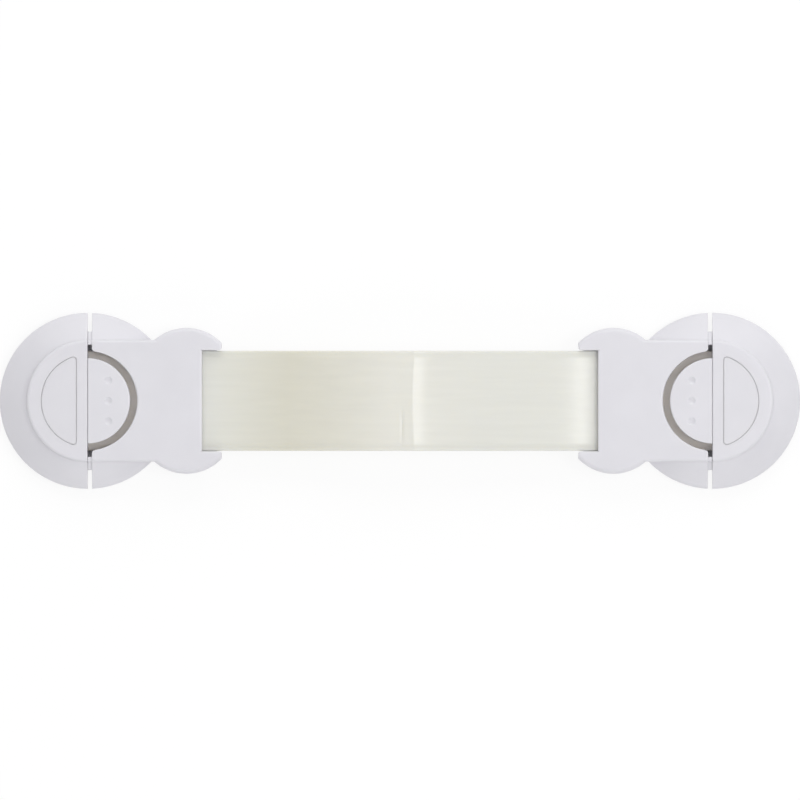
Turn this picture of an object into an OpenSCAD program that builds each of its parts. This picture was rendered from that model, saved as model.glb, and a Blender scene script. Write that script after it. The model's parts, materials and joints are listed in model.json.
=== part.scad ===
// Cabinet safety lock: a plastic strap joins two round ends. Each end is a base that sticks to the
// furniture and a buckle that clips into it. Pressing the half-moon button lifts a latch, and the
// buckle then slides out towards the strap.
// Lengths in mm. The lock lies on its adhesive pads: +X along the strap, +Z out of its face.
// One end is drawn around its disc centre with its strap towards +X, then placed at both ends.

/* [Overall] */
// Length over both discs
overall_l = 200; // [180:1:230]
// Width of the sloping ring around the raised middle of a disc
ring_w = 6.8; // [5.5:0.1:8.5]
// Fall of the ring from its inner edge to the rim
ring_drop = 4.5; // [3.5:0.1:4.8]
// Step from the edge of the raised middle down to the ring
step_h = 1.7; // [1.2:0.1:2]
// Height of the rim's outer face
rim_t = 1.2; // [0.8:0.1:1.5]
// Swell of the ring above a straight slope
ring_swell = 0.5; // [0.2:0.1:0.9]
// Radius of the crown across the raised middle
crown_r = 250; // [180:10:400]
// Gap of the split between cover and buckle
split_gap = 1.1; // [0.8:0.1:1.6]

/* [Strap] */
// Width of the strap
strap_w = 25; // [23:0.5:28]
// Thickness of the strap
strap_t = 1.2; // [0.9:0.1:1.6]
// Rise of the strap's crease above the buckles' mouths
strap_bow = 5.5; // [3:0.5:9]
// Distance of the crease from the middle of the lock
crease_x = 3.2; // [0:0.2:8]
// Part of the left rise that is an even slope
left_even_share = 0.12; // [0.05:0.01:0.4]
// Part of the right rise that is made close to the buckle
right_quick_share = 0.35; // [0.2:0.01:0.5]
// Part of the right length over which the quick rise fades
right_fade_share = 0.12; // [0.08:0.01:0.2]
// Part of the right rise that is made close to the crease
crest_share = 0.12; // [0.05:0.01:0.2]
// Part of the right length over which the rise at the crease fades
crest_fade_share = 0.04; // [0.03:0.01:0.1]
// Gap of the rolled joint at the crease
crease_gap = 0.6; // [0.55:0.05:0.75]

/* [Buckle] */
// Disc centre to the plate's edge over the strap
plate_l = 28.6; // [27:0.1:32]
// Length of the ears beside the strap
ear_l = 4.9; // [3:0.1:6]
// Round of the ears' inner tips
ear_corner_r = 0.6; // [0.3:0.05:0.9]
// Radius of the rounded lobes
lobe_r = 12.2; // [11:0.1:13.5]
// Distance of the lobes' centres behind the plate's edge
lobe_back = 3.9; // [3:0.1:5]
// How far the lobes stand out past the plate's sides
lobe_out = 3.1; // [2:0.1:4]
// Width of the prongs beside the button's cut-out
prong_w = 2.8; // [2.4:0.1:3.4]
// Round at the prongs' inner tips
prong_r = 0.75; // [0.4:0.05:1]
// Thickness of the buckle's back plate and blade
back_t = 1.6; // [1.4:0.1:2]
// Width of the blade, as a part of the strap's
blade_share = 0.56; // [0.5:0.01:0.6]
// Reach of the blade past the disc's centre
blade_l = 8.4; // [8:0.1:9]
// Length of the blade behind the latch tooth
blade_end = 2.2; // [2:0.1:2.6]
// Width of the lugs that stop the buckle against the cover
lug_w = 3.3; // [2:0.1:3.6]
// Distance of the buckle's screws behind the plate's edge
screw_back = 8; // [7:0.1:9]
// Distance of the buckle's screws from the strap's edges
screw_edge = 4; // [3.5:0.1:5]

/* [Button] */
// Gap around the button's arc
arc_gap = 1.75; // [1.4:0.05:2.4]
// Gap along the button's straight edge
root_gap = 0.06; // [0.05:0.01:0.2]
// Round of the facing edges of button and cover
root_edge_r = 0.3; // [0.2:0.05:0.6]
// Greatest turn of the button, in degrees
press_angle = 8.5; // [7:0.5:9]
// Room left under the button when it is pressed
press_margin = 0.2; // [0.15:0.05:0.5]
// Radius of the button's journals
pivot_r = 1.1; // [0.9:0.05:1.2]
// Distance of the button's axis behind the split
pivot_back = 2.1; // [2:0.1:2.4]
// Length of each journal
journal_l = 1.6; // [1.2:0.1:1.8]
// Diameter of a dimple
dimple_d = 1.95; // [1.4:0.05:2.4]
// Depth of a dimple
dimple_h = 0.4; // [0.2:0.05:0.7]
// Distance of the dimples from the disc's centre
dimple_u = 5.2; // [4:0.1:6.5]
// Distance from one dimple to the next
dimple_pitch = 5.1; // [3.5:0.1:6]
// Round of the button's top edge
button_edge_r = 0.45; // [0.2:0.05:0.7]

/* [Cover and base] */
// Thickness of the adhesive pad
pad_t = 1; // [0.6:0.1:1.4]
// Thickness of the base plate
base_t = 1.4; // [1.3:0.1:1.8]
// Wall of the moulded shells
wall = 1.6; // [1.4:0.1:1.9]
// Round of the raised middle's top edge
edge_r = 0.8; // [0.4:0.1:1]
// Round of the lobes' top edge
lobe_edge_r = 1.2; // [0.6:0.1:1.6]
// Margin of the inlay inside the raised middle
inlay_margin = 3.7; // [3:0.1:4.5]
// Distance of the inlay's straight side from the disc's centre
inlay_flat = 2.8; // [2.4:0.1:4]
// Round of the inlay's corners
inlay_corner_r = 0.75; // [0.5:0.05:1.2]
// Thickness of the inlay in its middle
inlay_t = 0.8; // [0.6:0.05:0.9]
// Outline gap around the inlay
inlay_gap = 0.06; // [0.05:0.01:0.2]
// Thickness of the ribs under the ring
rib_t = 1; // [0.8:0.1:1.3]
// Thickness of the latch leaf
leaf_t = 0.6; // [0.5:0.05:0.7]
// Thickness of the latch tooth
tooth_t = 0.9; // [0.7:0.05:1.1]
// Width of the latch tooth
tooth_w = 4.7; // [4:0.1:5]
// Depth of the latch tooth in the blade
tooth_depth = 0.8; // [0.6:0.05:0.9]
// Length of the post under the leaf's fixed end
post_l = 1.7; // [1.5:0.1:2]
// Round of the edges at the cut-out, the plate's end and the ears
soft_r = 0.55; // [0.3:0.05:0.6]

/* [Screws] */
// Shank radius of the screws
screw_r = 0.9; // [0.8:0.05:1]
// Head radius of the screws
head_r = 1.7; // [1.5:0.05:1.8]
// Head height of the screws
head_h = 0.8; // [0.6:0.05:0.85]

/* [Clearances] */
// Clearance between pieces that slide on each other
run_gap = 0.3; // [0.2:0.05:0.4]
// Radial clearance of a journal, screw or peg in its hole
hole_gap = 0.05; // [0.03:0.01:0.08]
// Gap between the latch tooth and the fingers beside it
finger_gap = 0.45; // [0.3:0.05:0.6]
// Room beside the strap in the buckle and between the ears
strap_side = 1.1; // [0.9:0.05:1.4]
// Room between the strap and an ear
ear_gap = 0.2; // [0.15:0.05:0.4]
// Inset of the base plate from the raised middle's edge
base_inset = 0.4; // [0.3:0.1:0.8]

/* [Hidden] */
$fn = 96;
over = 1;             // overrun of every cut past the face that it opens
graze = 0.02;         // rise of an edge's rounding, so that it meets the face at a clear angle
arc_steps = 8;        // chords in a rounded edge or across half the crown
ring_steps = 16;      // chords down the ring
long_steps = 48;      // chords in a long arc or along a strap leaf
inner_share = 0.75;   // inner ribs, hubs and rails, as a part of the wall
pivot_share = 0.3;    // height of the button's axis in the room under the button
foot_share = 0.4;     // height of a boss's foot, as a part of the base plate
ledge_share = 0.75;   // reach of the back plate's ledge under the strap, as a part of the ears
ramp_share = 0.4;     // lead-in of the blade, as a part of its thickness
peg_share = 0.35;     // radius of the leaf's peg, as a part of its post
tip_share = 0.4;      // end of a screw's tip, as a part of its shank
recess_shares = [1.2, 0.32, 0.5];  // length, width and depth of a screw's recess in its head
inlay_peg_shares = [0.5, 0.66];    // places of the inlay's pegs, as parts of its radius
rib_turns = [20, 45, 70, 90, 110, 135, 160];
roll_angle = 75;      // how far the left leaf's rolled end turns around the crease

half_wall = wall / 2;
inner_wall = wall * inner_share;
bite = wall / 4;      // how far an inner rib or boss runs into the skin that carries it
wide_gap = run_gap + run_gap;
plateau_r = strap_w / 2 + strap_side + wall;
disc_r = plateau_r + ring_w;
across = 2 * disc_r;
disc_spacing = overall_l - across;
cutout_r = plateau_r - prong_w;
button_r = cutout_r - arc_gap;
base_r = plateau_r - base_inset;
pad_r = base_r - base_inset;
inlay_r = plateau_r - inlay_margin;
lobe_u = plate_l - lobe_back;
lobe_v = plateau_r + lobe_out - lobe_r;
ear_u = plate_l + ear_l;
ear_v = strap_w / 2 + ear_gap;
cavity_v = plateau_r - wall;
back_v = cavity_v - hole_gap - hole_gap;
mouth_u = plate_l - wall - inner_wall;
ledge_u = plate_l + ear_l * ledge_share;
ledge_v = ear_v - hole_gap - hole_gap;

// The crown is an arc between the ears and a straight slope outside them
slope_v = ear_v;
crown_turn = asin(slope_v / crown_r);
function crown_fall(v) =
    v < slope_v ? crown_r - sqrt(crown_r * crown_r - v * v)
                : crown_r * (1 - cos(crown_turn)) + (v - slope_v) * tan(crown_turn);

// Heights, stacked up from the furniture
press_room = (button_r + pivot_back) * sin(press_angle) + press_margin;
base_z = pad_t + base_t;
blade_z = base_z + run_gap;
back_z = blade_z + back_t;
strap_z = back_z + strap_t;
skin_z = strap_z + press_room;
edge_z = skin_z + wall;
face_z = edge_z + crown_fall(plateau_r);
slope_z = face_z - crown_fall(slope_v);
ring_z = edge_z - step_h;
rim_z = ring_z - ring_drop;
rim_under = rim_z - rim_t;
strap_mid_z = back_z + strap_t / 2;
mouth_rise = press_room - run_gap;
mouth_z = strap_mid_z + mouth_rise;
crease_z = mouth_z + strap_bow;

// The ring's slope, and the upright thickness of a shell under it
slope = ring_drop / ring_w;
slant_wall = wall * sqrt(1 + slope * slope);
rim_soft = rim_t;

// Button: axis, hub and the two fingers that lift the latch
pivot_u = -pivot_back;
pivot_z = strap_z + press_room * pivot_share;
hub_rear = pivot_u - pivot_r - run_gap;
hub_front = root_gap + inner_wall;
hub_low = back_z + wide_gap;
hub_high = skin_z - run_gap;
hub_v = button_r - inner_wall / 2;
stop_u = -inner_wall / 2;
journal_v0 = hub_v + run_gap;
journal_v1 = journal_v0 + journal_l;
finger_t = half_wall;
finger_top = hub_low + finger_t;
tooth_v = tooth_w / 2;
finger_v0 = tooth_v + finger_gap;
finger_v1 = finger_v0 + wall;

// Latch leaf: post, tooth and the window that the tooth drops into
leaf_z = finger_top + hole_gap;
leaf_v = finger_v1;
post_rear = cavity_v - wide_gap;
post_front = post_rear - post_l;
leaf_peg_r = post_l * peg_share;
leaf_peg_u = -(post_rear + post_front) / 2;
tooth_u = blade_end - blade_l;
finger_tip = tooth_u - finger_t;
tooth_low = back_z - tooth_depth;
window_front = tooth_u + tooth_t + run_gap;
window_rear = tooth_u - run_gap;
window_v = tooth_v + run_gap;
blade_w = strap_w * blade_share;
blade_ramp = back_t * ramp_share;

// Rails that guide the blade, with lips over its edges
rail_v0 = blade_w / 2 + run_gap;
rail_v1 = rail_v0 + inner_wall;
rail_front = hub_rear - wide_gap;
rail_rear = -blade_l - run_gap;
lip_v = finger_v1 + wide_gap;
lip_z = back_z + run_gap;
lip_t = half_wall;

// The split's end walls stand outside the button's bearings
bearing_front = pivot_u + pivot_r + half_wall;
bearing_rear = pivot_u - pivot_r - half_wall;
end_wall_v = journal_v1 + run_gap;
lug_v = plateau_r - inner_wall;

// Screws and the bosses that take them
boss_r = screw_r + inner_wall;
boss_u = bearing_rear - run_gap - boss_r;
boss_v = rail_v1 + run_gap + boss_r;
boss_foot = base_t * foot_share;
boss_foot_r = boss_r + wide_gap;
sink_h = head_h + hole_gap;
recess_l = head_r * recess_shares[0];
recess_w = head_r * recess_shares[1];
recess_h = head_h * recess_shares[2];
screw_tip = inner_wall;
buckle_screw_u = plate_l - screw_back;
buckle_screw_v = strap_w / 2 - screw_edge;
strap_hole_r = boss_r + hole_gap;
inlay_peg_r = screw_r;
inlay_peg_u = -inlay_r * inlay_peg_shares[0];
inlay_peg_v = inlay_r * inlay_peg_shares[1];
clamp_u = cutout_r + wall;

// The strap's end reaches the split beside the button's hub and is notched around it
strap_end_u = hole_gap;
notch_u = hub_front + wide_gap;
notch_v = hub_v + run_gap;

// Past its screws the strap climbs to the buckle's mouth, just under the skin
climb_u = buckle_screw_u + strap_hole_r + run_gap;
climb_l = plate_l - wall - climb_u;

white = [0.90, 0.89, 0.91];
cream = [0.88, 0.86, 0.78];
foam = [0.62, 0.58, 0.52];
steel = [0.66, 0.67, 0.69];

// Points of an arc about c, from angle a to angle b
function arc(c, r, a, b, n) =
    [for (i = [0 : n]) c + r * [cos(a + (b - a) * i / n), sin(a + (b - a) * i / n)]];

// Points of a curve from p to q that leaves p and meets q along the lines to c
function curve(p, c, q, n) =
    [for (i = [0 : n]) let (t = i / n) (1 - t) * (1 - t) * p + 2 * t * (1 - t) * c + t * t * q];
function turned(list) = [for (i = [len(list) - 1 : -1 : 0]) list[i]];

// Half section of a disc, as [radius, height]: crowned face, rounded edge, ring and rim
crown_part = crown_turn / arc_steps;
crown_line = concat(
    [[0, face_z]],
    [for (i = [1 : arc_steps]) let (a = (i - 1 / 2) * crown_part)
        [0, face_z - crown_r] + crown_r / cos(crown_part / 2) * [sin(a), cos(a)]]);
face_edge = arc(
    [plateau_r - edge_r, edge_z + edge_r * tan(crown_turn) - edge_r / cos(crown_turn)],
    edge_r, 90 - crown_turn, 0, arc_steps);
face_line = concat(crown_line, face_edge);
ring_start = [plateau_r, ring_z];
soft_start = [disc_r - rim_soft, rim_z + rim_soft * slope];
ring_top = concat(
    curve(ring_start, (ring_start + soft_start) / 2 + [0, ring_swell], soft_start, ring_steps),
    curve(soft_start, [disc_r, rim_z], [disc_r, rim_z - rim_soft / 2], arc_steps));
ring_inner = [plateau_r - wall, ring_z + wall * slope - slant_wall];
ring_under = [
    [disc_r, rim_under], [disc_r - wall, rim_under],
    [disc_r - wall, rim_z + wall * slope - slant_wall], ring_inner];
cover_section = concat(face_line, ring_top, ring_under, [[plateau_r - wall, skin_z], [0, skin_z]]);
ring_section = concat(ring_top, ring_under, [[plateau_r - wall, ring_z]]);
under_section = concat(face_line, ring_top, [[disc_r, 0], [0, 0]]);

// Section across the buckle's plate, as [y, height]
plate_section = concat(
    face_line, [[plateau_r, blade_z], [-plateau_r, blade_z]],
    [for (i = [len(face_line) - 1 : -1 : 1]) [-face_line[i][0], face_line[i][1]]]);

// Inlay outline: a circle cut by its straight side, with rounded corners
function inlay_outline(grow) =
    let (
        r = inlay_r + grow, flat = inlay_flat - grow, cr = inlay_corner_r + grow,
        cu = -flat - cr, cv = sqrt((r - cr) * (r - cr) - cu * cu), a = atan2(cv, cu))
    concat(
        arc([0, 0], r, a, 360 - a, long_steps),
        arc([cu, -cv], cr, 360 - a, 360, arc_steps),
        arc([cu, cv], cr, 0, a, arc_steps));

// Height of the strap's middle surface on the way from a buckle (0) to the crease (1)
function left_rise(t) = left_even_share * t + (1 - left_even_share) * pow(sin(90 * t), 2);
function fade(t, share) = (1 - exp(-t / share)) / (1 - exp(-1 / share));
function right_rise(t) =
    right_quick_share * fade(t, right_fade_share)
    + crest_share * (1 - fade(1 - t, crest_fade_share))
    + (1 - right_quick_share - crest_share) * t;
function rise(t, right) = right ? right_rise(t) : left_rise(t);

// Middle line of the climb inside a buckle as [x, z], from x0
function climb_line(x0) =
    [for (i = [0 : ring_steps]) let (t = i / ring_steps)
        [x0 + climb_l * t, strap_mid_z + mouth_rise * pow(sin(90 * t), 2)]];

// Middle line of a leaf as [x, z], from its end in the buckle to the crease at [0, crease_z]
function leaf_line(run, flat, right) = concat(
    [[-run, strap_mid_z]], climb_line(climb_u - strap_end_u - run),
    [for (i = [0 : long_steps]) let (t = i / long_steps)
        [-flat * (1 - t), mouth_z + strap_bow * rise(t, right)]]);
function unit(v) = v / norm(v);
function normal(line, i) =
    let (d = unit(line[min(i + 1, len(line) - 1)] - line[max(i - 1, 0)])) [-d[1], d[0]];
function beside(line, off) = [for (i = [0 : len(line) - 1]) line[i] + off * normal(line, i)];

left_line = leaf_line(
    disc_spacing / 2 - strap_end_u + crease_x, disc_spacing / 2 - ear_u + wall + crease_x, false);
right_line = leaf_line(
    disc_spacing / 2 - strap_end_u - crease_x, disc_spacing / 2 - plate_l - crease_x, true);

// Places one end at its disc
module left_end() {
    translate([-disc_spacing / 2, 0, 0])
        children();
}

module right_end() {
    mirror([1, 0, 0])
        left_end()
            children();
}

// Both of a pair, one on each side of the strap's middle
module both_sides() {
    children();
    mirror([0, 1, 0])
        children();
}

// A section in [y, z], swept along X from u0
module swept_along(u0, length) {
    translate([u0, 0, 0])
        rotate([90, 0, 90])
            linear_extrude(length)
                children();
}

// A side view in [x, z], swept across Y about the middle
module swept_across(width) {
    rotate([90, 0, 0])
        linear_extrude(width, center = true)
            children();
}

// A box between two corners
module box(low, high) {
    translate(low)
        cube(high - low);
}

module pillar(u, v, z0, z1, r) {
    translate([u, v, z0])
        cylinder(h = z1 - z0, r = r);
}

// Trims inner features, so that they end inside the disc's skin
module under_skin() {
    intersection() {
        rotate_extrude()
            translate([0, -bite])
                polygon(under_section);
        union()
            children();
    }
}

// The slope beside the crown: Y runs down it from the crown's edge, Z stands off it
module on_slope() {
    translate([0, slope_v, slope_z])
        rotate([-crown_turn, 0, 0])
            children();
}

// What rounding takes off a corner at the origin, as [x, z], with the solid towards +X and -Z
module soft_corner(r) {
    difference() {
        translate([-over, -r])
            square([over + r, r + over]);
        translate([r, -r])
            circle(r = r);
    }
}

// Rounds an edge across the crowned face at u, with the solid towards +X
module soft_edge(u, r) {
    translate([u, 0, face_z - crown_r])
        rotate([0, 90, 0])
            rotate([0, 0, 180 - crown_turn])
                rotate_extrude(angle = 2 * crown_turn)
                    translate([crown_r + graze, 0])
                        mirror([1, -1])
                            soft_corner(r);
    both_sides()
        on_slope()
            translate([u, ring_w, graze])
                rotate([90, 0, 0])
                    linear_extrude(ring_w)
                        soft_corner(r);
}

// The same with the solid towards -X
module soft_far_edge(u, r) {
    translate([u, 0, 0])
        mirror([1, 0, 0])
            soft_edge(0, r);
}

// Rounds an upright corner of radius r that points towards -X and -Y
module upright_corner(r) {
    linear_extrude(face_z + over)
        difference() {
            square(r);
            translate([r, r])
                circle(r = r);
        }
}

// A pan-head screw, head down, with a crossed recess
module screw(z0, z1) {
    difference() {
        union() {
            cylinder(h = head_h, r = head_r);
            cylinder(h = z1 - z0 - screw_tip, r = screw_r);
            translate([0, 0, z1 - z0 - screw_tip])
                cylinder(h = screw_tip, r1 = screw_r, r2 = screw_r * tip_share);
        }
        for (turn = [0, 90])
            rotate([0, 0, turn])
                box([-recess_l / 2, -recess_w / 2, -over], [recess_l / 2, recess_w / 2, recess_h]);
    }
}

module adhesive_pad() {
    color(foam)
        cylinder(h = pad_t, r = pad_r);
}

module base_plate() {
    color(white)
        difference() {
            union() {
                pillar(0, 0, pad_t, base_z, base_r);
                box([-post_rear, -leaf_v, pad_t], [-post_front, leaf_v, leaf_z]);
                pillar(leaf_peg_u, 0, leaf_z - wall, skin_z - leaf_t, leaf_peg_r);
                both_sides() {
                    box([bearing_rear, journal_v0, pad_t], [bearing_front, journal_v1, pivot_z + pivot_r]);
                    box([rail_rear, rail_v0, pad_t], [rail_front, rail_v1, lip_z + lip_t]);
                    box([rail_rear, lip_v, lip_z], [rail_front, rail_v1, lip_z + lip_t]);
                    pillar(boss_u, boss_v, pad_t, base_z + boss_foot, boss_foot_r);
                }
            }
            translate([pivot_u, 0, pivot_z]) {
                rotate([90, 0, 0])
                    cylinder(h = across, r = pivot_r + hole_gap, center = true);
                box([-pivot_r - hole_gap, -base_r, 0], [pivot_r + hole_gap, base_r, pivot_r + over]);
            }
            both_sides() {
                pillar(boss_u, boss_v, pad_t - over, pad_t + sink_h, head_r + hole_gap);
                pillar(boss_u, boss_v, pad_t, base_z + boss_foot + over, screw_r + hole_gap);
            }
        }
}

module base_screws() {
    color(steel)
        both_sides()
            translate([boss_u, boss_v, pad_t + hole_gap])
                screw(pad_t, skin_z - wall);
}

module cover() {
    color(white)
        difference() {
            union() {
                rotate([0, 0, 90])
                    rotate_extrude(angle = 180)
                        polygon(cover_section);
                under_skin() {
                    both_sides() {
                        box([-wall, end_wall_v, blade_z], [0, disc_r - half_wall, face_z]);
                        pillar(boss_u, boss_v, base_z + boss_foot, skin_z + bite, boss_r);
                        box([pivot_u, journal_v0, pivot_z + pivot_r + hole_gap],
                            [-run_gap, journal_v1, skin_z + bite]);
                    }
                    for (turn = rib_turns)
                        rotate([0, 0, 90 + turn])
                            swept_across(rib_t)
                                polygon([
                                    [plateau_r - half_wall, base_z + boss_foot + run_gap],
                                    [disc_r - half_wall, rim_under + run_gap],
                                    [disc_r - half_wall, rim_z], [plateau_r - half_wall, ring_z]]);
                    box([-post_rear, -tooth_v, leaf_z + leaf_t], [-post_front, tooth_v, skin_z + bite]);
                }
            }
            translate([0, 0, face_z - inlay_t])
                linear_extrude(inlay_t + over)
                    polygon(inlay_outline(inlay_gap));
            soft_far_edge(0, root_edge_r);
            pillar(leaf_peg_u, 0, leaf_z, skin_z, leaf_peg_r + hole_gap);
            both_sides() {
                pillar(inlay_peg_u, inlay_peg_v, skin_z - over, face_z, inlay_peg_r + hole_gap);
                pillar(boss_u, boss_v, base_z, skin_z - half_wall, screw_r + hole_gap);
            }
        }
}

module cover_inlay() {
    color(white) {
        intersection() {
            translate([0, 0, face_z - inlay_t])
                linear_extrude(inlay_t)
                    polygon(inlay_outline(0));
            rotate_extrude()
                polygon(concat(face_line, [[plateau_r, skin_z], [0, skin_z]]));
        }
        both_sides()
            pillar(inlay_peg_u, inlay_peg_v, skin_z - run_gap, face_z - inlay_t + hole_gap, inlay_peg_r);
    }
}

module release_button() {
    color(white)
        difference() {
            union() {
                intersection() {
                    rotate_extrude()
                        polygon(concat(
                            [[0, skin_z], [button_r, skin_z]],
                            arc([button_r - button_edge_r, face_z - button_edge_r], button_edge_r,
                                0, 90, arc_steps),
                            [[0, face_z]]));
                    swept_along(root_gap, disc_r)
                        polygon(plate_section);
                }
                swept_across(hub_v + hub_v)
                    polygon([
                        [hub_rear, hub_low], [root_gap, hub_low], [hub_front, strap_z + run_gap],
                        [hub_front, skin_z + half_wall], [root_gap, skin_z + half_wall],
                        [root_gap, skin_z - hole_gap], [stop_u, skin_z - hole_gap],
                        [stop_u, hub_high], [hub_rear, hub_high]]);
                both_sides() {
                    box([finger_tip, finger_v0, hub_low], [hub_rear + half_wall, finger_v1, finger_top]);
                    translate([pivot_u, hub_v - half_wall, pivot_z])
                        rotate([-90, 0, 0])
                            cylinder(h = journal_v1 - hub_v + half_wall, r = pivot_r);
                }
            }
            soft_edge(root_gap, root_edge_r);
            for (k = [-1 : 1])
                let (r = (dimple_d * dimple_d / 4 + dimple_h * dimple_h) / (2 * dimple_h),
                    v = k * dimple_pitch)
                    translate([dimple_u, v, face_z - crown_fall(abs(v)) + r - dimple_h])
                        sphere(r = r);
        }
}

module latch_spring() {
    color(cream)
        difference() {
            union() {
                box([-post_rear, -leaf_v, leaf_z], [tooth_u + tooth_t, leaf_v, leaf_z + leaf_t]);
                box([tooth_u, -tooth_v, tooth_low], [tooth_u + tooth_t, tooth_v, leaf_z + leaf_t]);
            }
            pillar(leaf_peg_u, 0, leaf_z - over, leaf_z + leaf_t + over, leaf_peg_r + hole_gap);
        }
}

// The buckle's shell before its bosses, lugs and clamping rib are added
module plain_shell() {
    difference() {
        union() {
            swept_along(split_gap, plate_l - split_gap)
                polygon(plate_section);
            both_sides()
                intersection() {
                    on_slope()
                        translate([lobe_u, lobe_v - slope_v, 0])
                            rotate_extrude()
                                polygon(concat(
                                    [[0, -face_z], [lobe_r, -face_z]],
                                    arc([lobe_r - lobe_edge_r, -lobe_edge_r], lobe_edge_r, 0, 90,
                                        arc_steps),
                                    [[0, 0]]));
                    box([cutout_r, slope_v, blade_z], [ear_u, across, face_z]);
                }
            intersection() {
                rotate_extrude()
                    polygon(ring_section);
                box([split_gap, -across, 0], [across, across, face_z]);
            }
        }
        box([split_gap - over, -cavity_v, -over], [plate_l - wall, cavity_v, skin_z]);
        box([mouth_u, -ear_v, -over], [ear_u + over, ear_v, skin_z]);
        box([plate_l, -ear_v, -over], [ear_u + over, ear_v, face_z + over]);
        both_sides()
            intersection() {
                on_slope()
                    pillar(lobe_u, lobe_v - slope_v, -face_z - over, -wall, lobe_r - wall);
                box([lobe_u - lobe_r, 0, -over], [plate_l - wall, disc_r, skin_z]);
            }
        rotate_extrude()
            polygon(concat(
                [[0, -over], [cutout_r, -over]],
                arc([cutout_r + soft_r, face_z - soft_r], soft_r, 180, 90, arc_steps),
                [[cutout_r + soft_r, face_z + over], [0, face_z + over]]));
        intersection() {
            soft_far_edge(plate_l, soft_r);
            box([0, -ear_v, 0], [ear_u, ear_v, face_z + over]);
        }
        soft_far_edge(ear_u, soft_r);
        both_sides() {
            translate([split_gap, sqrt(cutout_r * cutout_r - split_gap * split_gap), 0])
                upright_corner(prong_r);
            translate([ear_u, ear_v, 0])
                mirror([1, 0, 0])
                    upright_corner(ear_corner_r);
        }
    }
}

module buckle_shell() {
    color(white)
        difference() {
            union() {
                plain_shell();
                both_sides() {
                    pillar(buckle_screw_u, buckle_screw_v, back_z, skin_z + bite, boss_r);
                    under_skin()
                        box([hole_gap, lug_v, blade_z], [split_gap + wall, lug_v + lug_w, edge_z]);
                }
                box([clamp_u, -cavity_v, strap_z], [clamp_u + inner_wall, cavity_v, skin_z + bite]);
            }
            both_sides()
                pillar(buckle_screw_u, buckle_screw_v, back_z - over, skin_z - bite, screw_r + hole_gap);
        }
}

module buckle_back() {
    color(white)
        difference() {
            union() {
                box([split_gap + run_gap, -back_v, blade_z], [plate_l - wall - run_gap, back_v, back_z]);
                swept_across(ledge_v + ledge_v)
                    polygon(concat(
                        [[cutout_r, back_z]], beside(climb_line(climb_u), -strap_t / 2 - hole_gap),
                        [[ledge_u, back_z + mouth_rise - hole_gap], [ledge_u, blade_z], [cutout_r, blade_z]]));
                swept_across(blade_w)
                    polygon([
                        [-blade_l, blade_z], [split_gap + wall, blade_z], [split_gap + wall, back_z],
                        [blade_ramp - blade_l, back_z], [-blade_l, back_z - blade_ramp]]);
            }
            box([window_rear, -window_v, 0], [window_front, window_v, back_z + over]);
            both_sides() {
                pillar(buckle_screw_u, buckle_screw_v, 0, blade_z + sink_h, head_r + hole_gap);
                pillar(buckle_screw_u, buckle_screw_v, blade_z, back_z + over, screw_r + hole_gap);
            }
        }
}

module buckle_screws() {
    color(steel)
        both_sides()
            translate([buckle_screw_u, buckle_screw_v, blade_z + hole_gap])
                screw(blade_z, skin_z - half_wall);
}

// One leaf of the strap, from its end in the buckle to the crease at x = 0
module leaf(line, last) {
    end_x = line[0][0];
    difference() {
        swept_across(strap_w)
            polygon(concat(
                beside(line, strap_t / 2), last, turned(beside(line, -strap_t / 2))));
        box([end_x - over, -notch_v, back_z - over],
            [end_x + notch_u - strap_end_u, notch_v, strap_z + over]);
        both_sides()
            pillar(end_x + buckle_screw_u - strap_end_u, buckle_screw_v,
                back_z - over, strap_z + over, strap_hole_r);
    }
}

module strap_left() {
    color(cream)
        translate([crease_x, 0, 0])
            leaf(left_line, arc([0, crease_z], strap_t / 2, roll_angle, -roll_angle, arc_steps));
}

module strap_right() {
    color(cream)
        translate([crease_x, 0, 0])
            mirror([1, 0, 0])
                difference() {
                    leaf(right_line, []);
                    translate([0, 0, crease_z])
                        rotate([90, 0, 0])
                            cylinder(h = strap_w + over, r = strap_t / 2 + crease_gap, center = true);
                }
}

left_end() adhesive_pad();  // left_adhesive_pad
left_end() base_plate();  // left_base_plate
left_end() base_screws();  // left_base_screws
left_end() cover();  // left_cover
left_end() cover_inlay();  // left_cover_inlay
left_end() release_button();  // left_release_button
left_end() latch_spring();  // left_latch_spring
left_end() buckle_shell();  // left_buckle_shell
left_end() buckle_back();  // left_buckle_back
left_end() buckle_screws();  // left_buckle_screws
strap_left();
strap_right();
right_end() adhesive_pad();  // right_adhesive_pad
right_end() base_plate();  // right_base_plate
right_end() base_screws();  // right_base_screws
right_end() cover();  // right_cover
right_end() cover_inlay();  // right_cover_inlay
right_end() release_button();  // right_release_button
right_end() latch_spring();  // right_latch_spring
right_end() buckle_shell();  // right_buckle_shell
right_end() buckle_back();  // right_buckle_back
right_end() buckle_screws();  // right_buckle_screws
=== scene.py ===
"""Looks of the cabinet safety lock: finishes, the one-piece strap, floor, lights and camera. Metres."""

import json
import math

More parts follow.
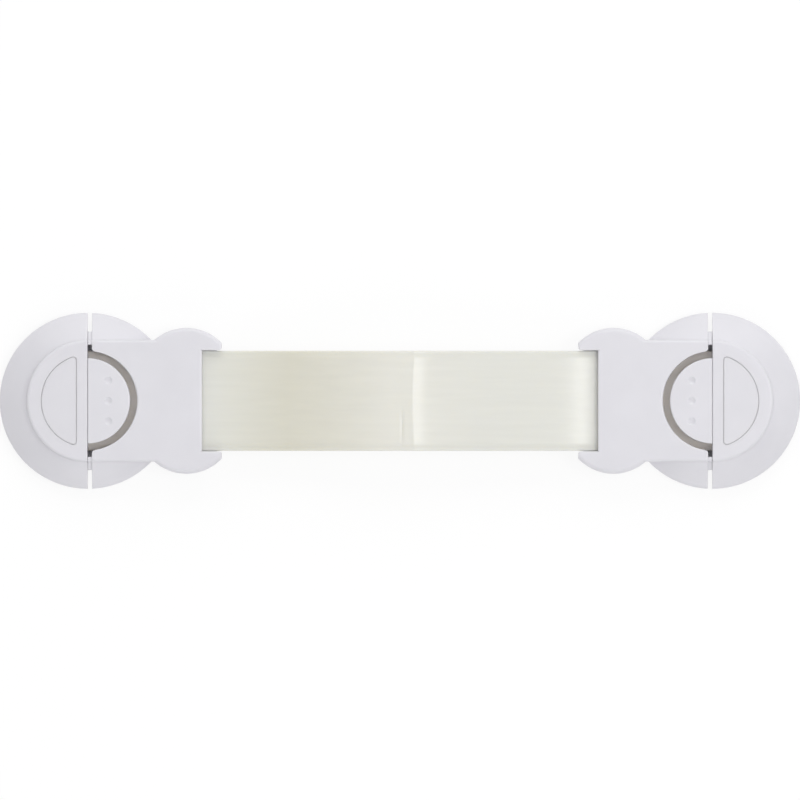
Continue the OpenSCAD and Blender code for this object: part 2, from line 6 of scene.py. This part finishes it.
import bmesh
import bpy
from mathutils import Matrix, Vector


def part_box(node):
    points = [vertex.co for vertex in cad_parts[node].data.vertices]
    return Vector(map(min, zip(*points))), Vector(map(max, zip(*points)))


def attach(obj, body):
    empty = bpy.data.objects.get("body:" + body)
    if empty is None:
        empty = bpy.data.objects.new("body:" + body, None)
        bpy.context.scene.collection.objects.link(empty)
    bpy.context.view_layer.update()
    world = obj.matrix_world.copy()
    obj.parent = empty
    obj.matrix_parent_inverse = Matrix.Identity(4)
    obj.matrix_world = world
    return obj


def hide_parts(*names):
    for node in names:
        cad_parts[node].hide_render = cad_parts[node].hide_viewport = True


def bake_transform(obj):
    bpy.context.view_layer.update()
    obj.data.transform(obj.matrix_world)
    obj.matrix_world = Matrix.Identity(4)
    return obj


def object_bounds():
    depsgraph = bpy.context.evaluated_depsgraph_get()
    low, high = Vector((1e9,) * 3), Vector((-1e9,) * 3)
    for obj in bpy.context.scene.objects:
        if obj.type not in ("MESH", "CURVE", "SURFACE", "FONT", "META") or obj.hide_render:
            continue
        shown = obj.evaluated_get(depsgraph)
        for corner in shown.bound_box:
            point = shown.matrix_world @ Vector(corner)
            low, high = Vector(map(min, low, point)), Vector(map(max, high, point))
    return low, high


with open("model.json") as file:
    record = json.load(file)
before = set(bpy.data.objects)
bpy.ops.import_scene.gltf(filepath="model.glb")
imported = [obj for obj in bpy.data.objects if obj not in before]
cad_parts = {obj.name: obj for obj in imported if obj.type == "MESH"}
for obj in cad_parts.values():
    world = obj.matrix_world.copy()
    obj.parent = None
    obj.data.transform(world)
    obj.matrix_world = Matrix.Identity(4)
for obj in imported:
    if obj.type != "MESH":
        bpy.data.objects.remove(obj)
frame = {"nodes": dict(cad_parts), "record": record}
cad_low, cad_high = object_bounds()
nodes = frame["nodes"]
MM = 0.001

# Photograph, in pixels: the frame's side, the lock's length in it and how far below the middle it lies
IMAGE_PX = 800
LOCK_PX = 800.5
LOW_PX = 0.8

# Camera height above the rims of the discs
CAMERA_DISTANCE = 6000 * MM
RIM_HEIGHT = 2.5 * MM

# Colours as they are written in sRGB
WHITE_SRGB = (229, 228, 233)
ACETAL_SRGB = (226, 224, 214)
FOAM_SRGB = (206, 201, 192)
STEEL_SRGB = (196, 198, 202)

# Cream of the strap, which drifts along its length: place along X and colour. The darker, yellower stop at
# -28 mm, on the slope that turns from the light, is painted shade; the whiter stops from the crest
# rightwards are painted sheen
CREAM_SHADE_SHEEN_SRGB = (
    (-46 * MM, (228, 228, 221)),
    (-28 * MM, (224, 222, 209)),
    (-2 * MM, (233, 232, 225)),
    (20 * MM, (229, 229, 223)),
)

# Paler, warmer cream of its ends, from where the buckles hide it to where the gaps by the buttons show it:
# painted warm bounce light that lifts the shade in those gaps
END_BOUNCE_CREAM_SRGB = (246, 238, 230)
END_BOUNCE_X = (50 * MM, 56 * MM)

# Faces of the strap that meet at less than this are shaded as one surface
SMOOTH_ANGLE = math.radians(24)

# Rounding that moulded edges are shaded with
SOFT_EDGE = 0.3 * MM

# Strap: section, and the middle line of its CAD leaves, with a broader crest beside the crease
STRAP_WIDTH = 25 * MM
STRAP_THICKNESS = 1.2 * MM
STRAP_EDGE_R = 0.4 * MM
BORDER = 1.2 * MM
BORDER_STEP = 0.08 * MM
BORDER_SLOPE = 0.25 * MM
STRAP_BOW = 5.5 * MM
CREASE_X = 3.2 * MM
LEFT_EVEN_SHARE = 0.12
RIGHT_QUICK_SHARE = 0.35
RIGHT_FADE_SHARE = 0.12
CREST_SHARE = 0.17
CREST_FADE_SHARE = 0.085
LEFT_FLAT_X = -46.1 * MM
RIGHT_FLAT_X = 49.4 * MM
STRAP_END_X = 77.95 * MM
STRAP_END_Z = 4.9 * MM
MOUTH_RISE = 1.7846 * MM
CLIMB_X = (54.95 * MM, 51 * MM)

# The crease bows along the strap, and a short second one lies beside it
CREASE_SAG = 0.5 * MM
CREASE_REACH = 10 * MM
FOLD_X = 0.5 * MM
FOLD_DEPTH = 0.17 * MM
FOLD_WIDTH = 0.45 * MM
FOLD_Y = (-12 * MM, -1 * MM)

# Cuts in the strap's hidden ends: screw bosses and the button's hub
HOLE_X = 57.4 * MM
HOLE_Y = 8.5 * MM
HOLE_R = 2.15 * MM
HOLE_SIDES = 48
NOTCH_X = 76.14 * MM
NOTCH_Y = 10.35 * MM
CUT_HEIGHT = 4 * STRAP_THICKNESS

# Mesh of the strap: columns across its top, steps round an edge, the least and the most between two places
# along it, how slowly these spread from a bend, and the step that its slope is taken over
TOP_COLUMNS = 24
EDGE_STEPS = 5
PLACE_STEP = (0.2 * MM, 2 * MM)
PLACE_SPREAD = 6
SLOPE_STEP = 0.1 * MM

# Floor: its side, the gap under the pads, its own tone, what it adds where it is seen, so that both come to
# white, and what it adds to the light on the lock, as a white floor would
FLOOR_SIZE = 6
FLOOR_GAP = 0.05 * MM
FLOOR_TONE = 0.2
FLOOR_GLOW = 0.82
FLOOR_LIGHT = 0.5

# Light from all around
WORLD_LEVEL = 0.53

# Lamps: name, turn from +X and height over the floor in degrees, distance, size, power in watts
LAMPS = (
    ("top", 0, 90, 1, (0.5, 0.5), 0.5),
    ("back", 90, 31, 1.2, (1.8, 1), 6.6),
    ("front", 270, 28, 1, (0.9, 0.7), 2),
    ("right", 0, 30, 1, (0.7, 0.7), 0.7),
    ("strip", 0, 63, 1, (0.3, 0.22), 1),
)

# Foam pad: how far its cut side swells, its sides, the steps up its cut side and the rings on its faces
PAD_EASE = 0.12 * MM
PAD_SIDES = 120
PAD_STEPS = 8
PAD_RINGS = (0.45, 0.85)


def linear(srgb):
    """An sRGB colour of 0 to 255 as scene-linear RGBA."""
    def one(c):
        c /= 255
        return c / 12.92 if c <= 0.04045 else ((c + 0.055) / 1.055) ** 2.4
    return (*[one(c) for c in srgb], 1)


def scaled(colour, factor):
    """A colour times a factor, at most white."""
    return (*[min(1, c * factor) for c in colour[:3]], 1)


class Shader:
    """A new material with a Principled surface and short ways to add nodes to it."""

    def __init__(self, name):
        self.material = bpy.data.materials.new(name)
        self.material.use_nodes = True
        self.tree = self.material.node_tree
        self.surface = next(n for n in self.tree.nodes if n.type == "BSDF_PRINCIPLED")
        self.place = self.add("ShaderNodeTexCoord").outputs["Object"]

    def add(self, kind, **values):
        node = self.tree.nodes.new(kind)
        for name, value in values.items():
            setattr(node, name, value)
        return node

    def link(self, output, node, socket):
        self.tree.links.new(output, node.inputs[socket])

    def set(self, **values):
        for name, value in values.items():
            self.surface.inputs[name.replace("_", " ")].default_value = value

    def noise(self, size, detail=3, stretch=(1, 1, 1)):
        """Noise with features of that size in metres, drawn out along an axis by its stretch."""
        spread = self.add("ShaderNodeMapping")
        spread.inputs["Scale"].default_value = [1 / (size * s) for s in stretch]
        self.link(self.place, spread, "Vector")
        texture = self.add("ShaderNodeTexNoise")
        texture.inputs["Scale"].default_value = 1
        texture.inputs["Detail"].default_value = detail
        self.link(spread.outputs["Vector"], texture, "Vector")
        return texture.outputs["Fac"]

    def ramp(self, value, first, *middle, last):
        """A colour for each value, from stops that are a position and a colour."""
        ramp = self.add("ShaderNodeValToRGB")
        stops = ramp.color_ramp.elements
        for stop, (position, colour) in ((stops[0], first), (stops[1], last)):
            stop.position, stop.color = position, colour
        for position, colour in middle:
            stops.new(position).color = colour
        self.link(value, ramp, "Fac")
        return ramp.outputs["Color"]

    def colour(self, value, low, high, start=0.3, end=0.7):
        """Base colour that goes from low to high as the value goes from start to end."""
        self.link(self.ramp(value, (start, low), last=(end, high)), self.surface, "Base Color")

    def along_x(self, start, end):
        """0 to 1 along X between two places."""
        place = self.add("ShaderNodeSeparateXYZ")
        self.link(self.place, place, "Vector")
        span = self.add("ShaderNodeMapRange")
        span.inputs["From Min"].default_value = start
        span.inputs["From Max"].default_value = end
        self.link(place.outputs["X"], span, "Value")
        return span.outputs["Result"]

    def product(self, one, two):
        """Two colours multiplied."""
        mix = self.add("ShaderNodeMix", data_type="RGBA", blend_type="MULTIPLY")
        mix.inputs["Factor"].default_value = 1
        colours = [socket for socket in mix.inputs if socket.type == "RGBA"]
        for output, socket in zip((one, two), colours):
            self.tree.links.new(output, socket)
        return next(socket for socket in mix.outputs if socket.type == "RGBA")

    def roughness(self, value, low, high):
        """Roughness between low and high, as the value goes from 0 to 1."""
        span = self.add("ShaderNodeMapRange")
        span.inputs["To Min"].default_value = low
        span.inputs["To Max"].default_value = high
        self.link(value, span, "Value")
        self.link(span.outputs["Result"], self.surface, "Roughness")

    def bump(self, *layers, edge=0):
        """Stacks bumps, each a height value, its depth in metres and its strength, over softened edges."""
        normal = None
        if edge:
            bevel = self.add("ShaderNodeBevel", samples=6)
            bevel.inputs["Radius"].default_value = edge
            normal = bevel.outputs["Normal"]
        for height, depth, strength in layers:
            bump = self.add("ShaderNodeBump")
            bump.inputs["Distance"].default_value = depth
            bump.inputs["Strength"].default_value = strength
            self.link(height, bump, "Height")
            if normal:
                self.link(normal, bump, "Normal")
            normal = bump.outputs["Normal"]
        self.link(normal, self.surface, "Normal")


def white_plastic():
    """Satin moulded plastic: faint flow clouding, fine mould grain and a slight sink on broad faces."""
    shader = Shader("white_plastic")
    white = linear(WHITE_SRGB)
    clouds = shader.noise(9 * MM, detail=4)
    shader.colour(clouds, scaled(white, 0.985), scaled(white, 1.012))
    shader.roughness(shader.noise(3 * MM), 0.26, 0.36)
    shader.bump(
        (shader.noise(14 * MM, detail=1), 0.02 * MM, 0.5),
        (shader.noise(0.22 * MM), 0.004 * MM, 0.4),
        edge=SOFT_EDGE)
    shader.set(Subsurface_Weight=0.6, Subsurface_Scale=0.7 * MM, Subsurface_Radius=(1, 1, 1))
    return shader.material


def cream_plastic():
    """Glossy extruded band: a cream that drifts along it, with painted shade, painted sheen and painted
    bounce light, fine streaks, a slight waviness and light that goes a way in.
    """
    shader = Shader("cream_plastic")
    inner, outer = END_BOUNCE_X
    places = [
        (-outer, END_BOUNCE_CREAM_SRGB), (-inner, CREAM_SHADE_SHEEN_SRGB[0][1]), *CREAM_SHADE_SHEEN_SRGB, (inner, CREAM_SHADE_SHEEN_SRGB[-1][1]),
        (outer, END_BOUNCE_CREAM_SRGB)]
    stops = [((x + outer) / (2 * outer), linear(srgb)) for x, srgb in places]
    # Cream along X, with painted shade on the left slope, painted sheen from the crest rightwards and
    # painted warm bounce light on the ends
    tint_and_painted_light = shader.ramp(shader.along_x(-outer, outer), *stops[:-1], last=stops[-1])
    streaks = shader.noise(1.4 * MM, stretch=(30, 1, 1))
    shade = shader.ramp(streaks, (0.3, scaled((1, 1, 1), 0.97)), last=(0.7, scaled((1, 1, 1), 1)))
    shader.link(shader.product(tint_and_painted_light, shade), shader.surface, "Base Color")
    shader.roughness(shader.noise(5 * MM), 0.2, 0.27)
    shader.bump(
        (shader.noise(11 * MM, detail=1, stretch=(2, 1, 1)), 0.03 * MM, 0.5),
        (streaks, 0.004 * MM, 0.3))
    shader.set(
        Subsurface_Weight=0.5, Subsurface_Scale=1.2 * MM, Subsurface_Radius=(1, 0.95, 0.8),
        Specular_IOR_Level=0.55)
    return shader.material


def acetal():
    """Natural acetal of the latch leaf: waxy, with a faint grain."""
    shader = Shader("acetal")
    base = linear(ACETAL_SRGB)
    shader.colour(shader.noise(2 * MM), scaled(base, 0.96), scaled(base, 1.02))
    shader.roughness(shader.noise(1 * MM), 0.34, 0.46)
    shader.bump((shader.noise(0.3 * MM), 0.004 * MM, 0.4))
    shader.set(Subsurface_Weight=0.2, Subsurface_Scale=1 * MM)
    return shader.material


def foam():
    """Closed-cell foam tape: small cells and a chalky colour."""
    shader = Shader("foam")
    base = linear(FOAM_SRGB)
    cells = shader.add("ShaderNodeTexVoronoi")
    cells.inputs["Scale"].default_value = 1 / (0.45 * MM)
    shader.link(shader.place, cells, "Vector")
    shader.colour(cells.outputs["Distance"], scaled(base, 0.86), scaled(base, 1.05), start=0.1, end=0.6)
    shader.roughness(shader.noise(1 * MM), 0.8, 0.95)
    shader.bump((cells.outputs["Distance"], 0.12 * MM, 0.8))
    return shader.material


def screw_steel():
    """Zinc-plated steel: clouded tone and fine turning lines."""
    shader = Shader("screw_steel")
    base = linear(STEEL_SRGB)
    shader.colour(shader.noise(0.8 * MM), scaled(base, 0.9), scaled(base, 1.05))
    shader.roughness(shader.noise(0.5 * MM), 0.24, 0.4)
    shader.bump((shader.noise(0.12 * MM, stretch=(6, 6, 1)), 0.006 * MM, 0.4))
    shader.set(Metallic=1)
    return shader.material


FINISH = {
    "white_plastic": white_plastic(),
    "cream_plastic": cream_plastic(),
    "natural_plastic": acetal(),
    "foam": foam(),
    "screw_steel": screw_steel(),
}


def dress_nodes():
    """Gives every CAD node the finish of its slot."""
    for part in frame["record"]["subparts"]:
        piece = nodes[part["node"]]
        piece.data.materials.clear()
        piece.data.materials.append(FINISH[part["material_slot"]])


def left_rise(t):
    """Share of the bow that is reached, where t is 0 at the left mouth and 1 at the crease."""
    return LEFT_EVEN_SHARE * t + (1 - LEFT_EVEN_SHARE) * math.sin(math.pi / 2 * t) ** 2


def fade(t, share):
    """0 to 1 as t is 0 to 1, most of it within the share."""
    return (1 - math.exp(-t / share)) / (1 - math.exp(-1 / share))


def right_rise(t):
    """Share of the bow that is reached, where t is 0 at the right mouth and 1 at the crease."""
    quick = RIGHT_QUICK_SHARE * fade(t, RIGHT_FADE_SHARE)
    crest = CREST_SHARE * (1 - fade(1 - t, CREST_FADE_SHARE))
    return quick + crest + (1 - RIGHT_QUICK_SHARE - CREST_SHARE) * t


def strap_height(x, y):
    """Height of the strap's middle surface, with the crease bowed and the second one pressed in."""
    near = math.exp(-((x - CREASE_X) / CREASE_REACH) ** 2)
    across = (y / (STRAP_WIDTH / 2)) ** 2
    fold = math.exp(-((x - FOLD_X) / FOLD_WIDTH) ** 2)
    along = (y - FOLD_Y[0]) / (FOLD_Y[1] - FOLD_Y[0])
    fold *= math.sin(math.pi * along) if 0 < along < 1 else 0
    return plain_height(x + CREASE_SAG * (1 / 3 - across) * near) - FOLD_DEPTH * fold


def plain_height(x):
    """Height of the strap's middle line: a climb inside each buckle, then the rise to the crease."""
    climb = min(1, max(0, (CLIMB_X[0] - abs(x)) / (CLIMB_X[0] - CLIMB_X[1])))
    mouth = STRAP_END_Z + MOUTH_RISE * math.sin(math.pi / 2 * climb) ** 2
    if x < CREASE_X:
        t = (x - LEFT_FLAT_X) / (CREASE_X - LEFT_FLAT_X)
        return mouth + STRAP_BOW * left_rise(max(0, t))
    t = (RIGHT_FLAT_X - x) / (RIGHT_FLAT_X - CREASE_X)
    return mouth + STRAP_BOW * right_rise(max(0, t))


def strap_stations():
    """Places along the strap, close together at its creases, its climbs and the right mouth."""
    climb, half_climb = (CLIMB_X[0] + CLIMB_X[1]) / 2, (CLIMB_X[0] - CLIMB_X[1]) / 2
    bends = (
        (CREASE_X, CREASE_SAG), (FOLD_X, FOLD_WIDTH), (RIGHT_FLAT_X, 0),
        (-climb, half_climb), (climb, half_climb))
    least, most = PLACE_STEP
    places, x = [], -STRAP_END_X
    while x < STRAP_END_X - least:
        places.append(x)
        near = min(max(0, abs(x - p) - reach) for p, reach in bends)
        x += min(most, max(least, near / PLACE_SPREAD))
    return [*places, STRAP_END_X]


def strap_section():
    """Closed outline of the strap across its width, as (y, height): a border step and round edges."""
    half, top, r = STRAP_WIDTH / 2, STRAP_THICKNESS / 2, STRAP_EDGE_R
    inner = half - BORDER
    flat = [(-inner + 2 * inner * i / TOP_COLUMNS, top) for i in range(TOP_COLUMNS + 1)]
    edge = [(inner + BORDER_SLOPE, top - BORDER_STEP)]
    for i in range(EDGE_STEPS + 1):
        turn = math.pi / 2 * i / EDGE_STEPS
        edge.append((half - r + r * math.sin(turn), top - BORDER_STEP - r + r * math.cos(turn)))
    upper = [(-y, n) for y, n in reversed(edge)] + flat + edge
    return upper + [(y, -n) for y, n in reversed(upper)]


def new_piece(name, mesh, slot):
    """An object from a bmesh, with the finish and the shading of its slot."""
    bmesh.ops.recalc_face_normals(mesh, faces=mesh.faces)
    data = bpy.data.meshes.new(name)
    mesh.to_mesh(data)
    mesh.free()
    piece = bpy.data.objects.new(name, data)
    bpy.context.scene.collection.objects.link(piece)
    data.materials.append(FINISH[slot])
    data.polygons.foreach_set("use_smooth", [True] * len(data.polygons))
    return piece


def strap_cutters():
    """Solids that leave room for the screw bosses and the buttons' hubs in the strap's ends."""
    cuts = bmesh.new()
    for end in (-1, 1):
        for side in (-1, 1):
            made = bmesh.ops.create_cone(
                cuts, cap_ends=True, segments=HOLE_SIDES, radius1=HOLE_R, radius2=HOLE_R, depth=CUT_HEIGHT)
            bmesh.ops.translate(
                cuts, verts=made["verts"], vec=(end * HOLE_X, side * HOLE_Y, STRAP_END_Z))
        long = 2 * (STRAP_END_X - NOTCH_X)
        made = bmesh.ops.create_cube(cuts, size=1)
        bmesh.ops.scale(cuts, verts=made["verts"], vec=(long, 2 * NOTCH_Y, CUT_HEIGHT))
        bmesh.ops.translate(
            cuts, verts=made["verts"], vec=(end * (NOTCH_X + long / 2), 0, STRAP_END_Z))
    data = bpy.data.meshes.new("strap_cutters")
    cuts.to_mesh(data)
    cuts.free()
    cutters = bpy.data.objects.new("strap_cutters", data)
    bpy.context.scene.collection.objects.link(cutters)
    return cutters


def cut_strap(strap):
    """Cuts the strap's ends and keeps the result as its mesh."""
    cutters = strap_cutters()
    cut = strap.modifiers.new("cut", "BOOLEAN")
    cut.operation, cut.solver, cut.object = "DIFFERENCE", "EXACT", cutters
    view = bpy.context.evaluated_depsgraph_get()
    strap.data = bpy.data.meshes.new_from_object(strap.evaluated_get(view))
    strap.data.name = "strap"
    strap.modifiers.remove(cut)
    bpy.data.objects.remove(cutters)


def make_strap():
    """The band from buckle to buckle, which stands for both CAD leaves and bends at the crease."""
    mesh = bmesh.new()
    section = strap_section()
    rings = []
    for x in strap_stations():
        ring = []
        for y, n in section:
            rise = strap_height(x + SLOPE_STEP, y) - strap_height(x - SLOPE_STEP, y)
            slope = rise / (2 * SLOPE_STEP)
            normal = Vector((-slope, 0, 1)).normalized()
            ring.append(mesh.verts.new(Vector((x, y, strap_height(x, y))) + normal * n))
        rings.append(ring)
    for one, two in zip(rings, rings[1:]):
        for i in range(len(section)):
            mesh.faces.new((one[i - 1], one[i], two[i], two[i - 1]))
    mesh.faces.new(rings[0])
    mesh.faces.new(reversed(rings[-1]))
    strap = new_piece("strap", mesh, "cream_plastic")
    cut_strap(strap)
    strap.data.set_sharp_from_angle(angle=SMOOTH_ANGLE)
    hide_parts("strap_left", "strap_right")
    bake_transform(strap)


def make_pad(end):
    """Foam pad under one end: a die-cut disc whose pressed side swells out between eased faces."""
    node = f"{end}_adhesive_pad"
    low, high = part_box(node)
    middle = (low + high) / 2
    radius, height = (high.x - low.x) / 2, high.z - low.z
    face = [0.0, *[share * radius for share in PAD_RINGS]]
    profile = [(r, 0.0) for r in face]
    for i in range(PAD_STEPS + 1):
        turn = math.pi * i / PAD_STEPS
        swell = PAD_EASE * math.sin(turn)
        profile.append((radius - PAD_EASE + swell, height * (1 - math.cos(turn)) / 2))
    profile += [(r, height) for r in reversed(face)]
    mesh = bmesh.new()
    rings = []
    for r, z in profile:
        count = PAD_SIDES if r else 1
        turns = [2 * math.pi * i / count for i in range(count)]
        rings.append([
            mesh.verts.new((middle.x + r * math.cos(a), middle.y + r * math.sin(a), low.z + z))
            for a in turns])
    for one, two in zip(rings, rings[1:]):
        for i in range(PAD_SIDES):
            corners = [ring[k % len(ring)] for ring, k in ((one, i), (one, i + 1), (two, i + 1), (two, i))]
            mesh.faces.new(list(dict.fromkeys(corners)))
    pad = new_piece(f"{end}_foam_pad", mesh, "foam")
    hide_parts(node)
    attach(pad, f"{end}_base")


def seen_level(tree, hidden, seen):
    """A level that is one value for light and another where the camera sees the surface, also in gloss."""
    path = tree.nodes.new("ShaderNodeLightPath")
    total = path.outputs["Is Camera Ray"]
    for way in ("Is Glossy Ray", "Is Transmission Ray"):
        either = tree.nodes.new("ShaderNodeMath")
        either.operation = "MAXIMUM"
        tree.links.new(total, either.inputs[0])
        tree.links.new(path.outputs[way], either.inputs[1])
        total = either.outputs[0]
    span = tree.nodes.new("ShaderNodeMapRange")
    span.inputs["To Min"].default_value = hidden
    span.inputs["To Max"].default_value = seen
    tree.links.new(total, span.inputs["Value"])
    return span.outputs["Result"]


def make_floor():
    """Pale floor: plain white to the camera, with the object's shadow."""
    bpy.ops.mesh.primitive_plane_add(size=FLOOR_SIZE, location=(0, 0, cad_low.z - FLOOR_GAP))
    floor = bpy.context.object
    floor.name = "floor"
    material = bpy.data.materials.new("floor")
    material.use_nodes = True
    tree = material.node_tree
    surface = next(n for n in tree.nodes if n.type == "BSDF_PRINCIPLED")
    surface.inputs["Base Color"].default_value = (FLOOR_TONE, FLOOR_TONE, FLOOR_TONE, 1)
    surface.inputs["Roughness"].default_value = 1
    surface.inputs["Specular IOR Level"].default_value = 0
    surface.inputs["Emission Color"].default_value = (1, 1, 1, 1)
    tree.links.new(seen_level(tree, FLOOR_LIGHT, FLOOR_GLOW), surface.inputs["Emission Strength"])
    floor.data.materials.append(material)


def make_world():
    """Even light from all around, and plain white where it is seen."""
    world = bpy.data.worlds.new("studio")
    bpy.context.scene.world = world
    world.use_nodes = True
    background = next(n for n in world.node_tree.nodes if n.type == "BACKGROUND")
    background.inputs["Color"].default_value = (1, 1, 1, 1)
    tree = world.node_tree
    tree.links.new(seen_level(tree, WORLD_LEVEL, 1), background.inputs["Strength"])


def make_lamp(name, turn, height, distance, size, power):
    """A soft lamp that faces the middle of the lock."""
    turn, height = math.radians(turn), math.radians(height)
    aim = Vector((math.cos(turn) * math.cos(height), math.sin(turn) * math.cos(height), math.sin(height)))
    light = bpy.data.lights.new(name, "AREA")
    light.shape = "RECTANGLE"
    light.size, light.size_y = size
    light.energy = power
    lamp = bpy.data.objects.new(name, light)
    bpy.context.scene.collection.objects.link(lamp)
    lamp.location = aim * distance
    lamp.rotation_euler = (-aim).to_track_quat("-Z", "Y").to_euler()


def make_camera():
    """Camera far above the lock, which frames it as the photograph does."""
    data = bpy.data.cameras.new("camera")
    camera = bpy.data.objects.new("camera", data)
    bpy.context.scene.collection.objects.link(camera)
    length = cad_high.x - cad_low.x
    seen = length * IMAGE_PX / LOCK_PX
    data.lens = data.sensor_width * CAMERA_DISTANCE / seen
    camera.location = (0, length / LOCK_PX * LOW_PX, RIM_HEIGHT + CAMERA_DISTANCE)
    bpy.context.scene.camera = camera


dress_nodes()
make_strap()
for side in ("left", "right"):
    make_pad(side)
make_floor()
make_world()
for lamp in LAMPS:
    make_lamp(*lamp)
make_camera()
bpy.context.scene.view_settings.view_transform = "Standard"
